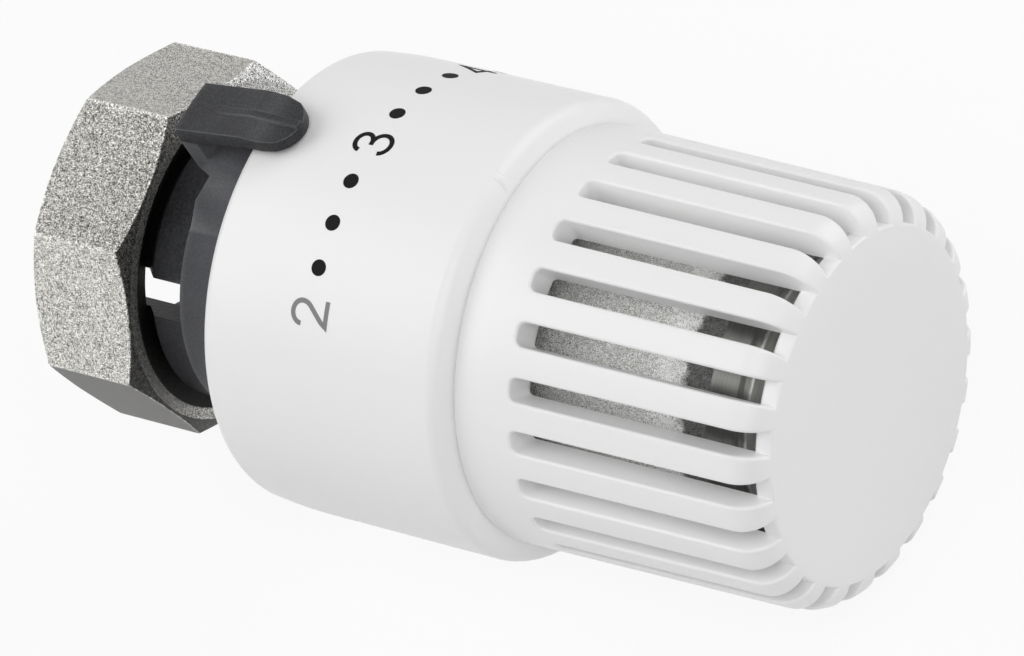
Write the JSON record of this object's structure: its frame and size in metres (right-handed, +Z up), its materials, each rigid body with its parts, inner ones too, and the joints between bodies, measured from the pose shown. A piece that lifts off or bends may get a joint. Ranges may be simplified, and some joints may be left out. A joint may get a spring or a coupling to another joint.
{
  "type": "thermostatic radiator valve head",
  "caption": "Thermostatic head for a radiator valve: union nut, black carrier with pointer, white handwheel with ribbed grille, liquid sensor inside.",
  "frame": {"origin": "centre of the union nut's rear face, on the axis of its thread", "axes": "+X along the head from the valve to the flat end disc, +Z up through the pointer's side, +Y to the left seen from the end disc towards the valve with +Z up"},
  "size_m": [0.0885, 0.0472, 0.0495],
  "materials": {
    "nickel_plate": "nickel-plated, sand-textured facets",
    "black_plastic": "black glass-filled moulding, fine matt texture",
    "white_plastic": "white satin moulding with a light gloss",
    "red_plastic": "red moulding",
    "grey_plastic": "grey moulding",
    "acetal": "natural acetal",
    "white_acetal": "white acetal",
    "sensor_metal": "drawn, grainy",
    "turned_metal": "turned",
    "brass": "turned",
    "bellows_metal": "thin rolled bronze",
    "zinc_steel": "zinc-plated",
    "spring_steel": "drawn wire",
    "rubber": "matt"
  },
  "bodies": {
    "base": {"base_carrier": "black_plastic", "limit_clips": "red_plastic"},
    "nut": {"union_nut": "nickel_plate"},
    "sensor": {"sensor_holder": "grey_plastic", "sensor_gasket": "rubber", "sensor_flange": "brass", "sensor_nut": "zinc_steel", "rod_bush": "acetal", "sensor_can": "sensor_metal", "sensor_end_cap": "turned_metal", "fill_plug": "zinc_steel", "bellows": "bellows_metal"},
    "wheel": {"handwheel": "white_plastic", "thrust_washer": "acetal", "holder_ring": "spring_steel"},
    "rod": {"push_rod": "zinc_steel", "bellows_plate": "bellows_metal", "spring_cup": "zinc_steel", "spring_ring": "spring_steel", "overtravel_spring": "spring_steel"},
    "pin": {"pressure_pin": "white_acetal", "pin_tip": "zinc_steel"}
  },
  "joints": [
    {"name": "nut_spin", "type": "hinge", "parent": "base", "child": "nut", "pos_m": [0.009, 0, 0], "axis": [1, 0, 0], "continuous": true},
    {"name": "wheel_travel", "type": "slide", "parent": "base", "child": "sensor", "axis": [1, 0, 0], "range_m": [-0.003, 0.0015]},
    {"name": "wheel_turn", "type": "hinge", "parent": "sensor", "child": "wheel", "pos_m": [0.05, 0, 0], "axis": [1, 0, 0], "range_deg": [-180, 90]},
    {"name": "temperature_stroke", "type": "slide", "parent": "sensor", "child": "rod", "axis": [1, 0, 0], "range_m": [-0.0025, 0.001], "stiffness_N_per_m": 1500, "deforming": ["bellows"]},
    {"name": "overtravel", "type": "slide", "parent": "rod", "child": "pin", "axis": [1, 0, 0], "range_m": [0, 0.004], "stiffness_N_per_m": 3000, "springref_m": -0.01, "deforming": ["overtravel_spring"]}
  ],
  "couplings": [
    {"joint": "wheel_travel", "follows": "wheel_turn", "m_per_rad": 0.00095492}
  ]
}
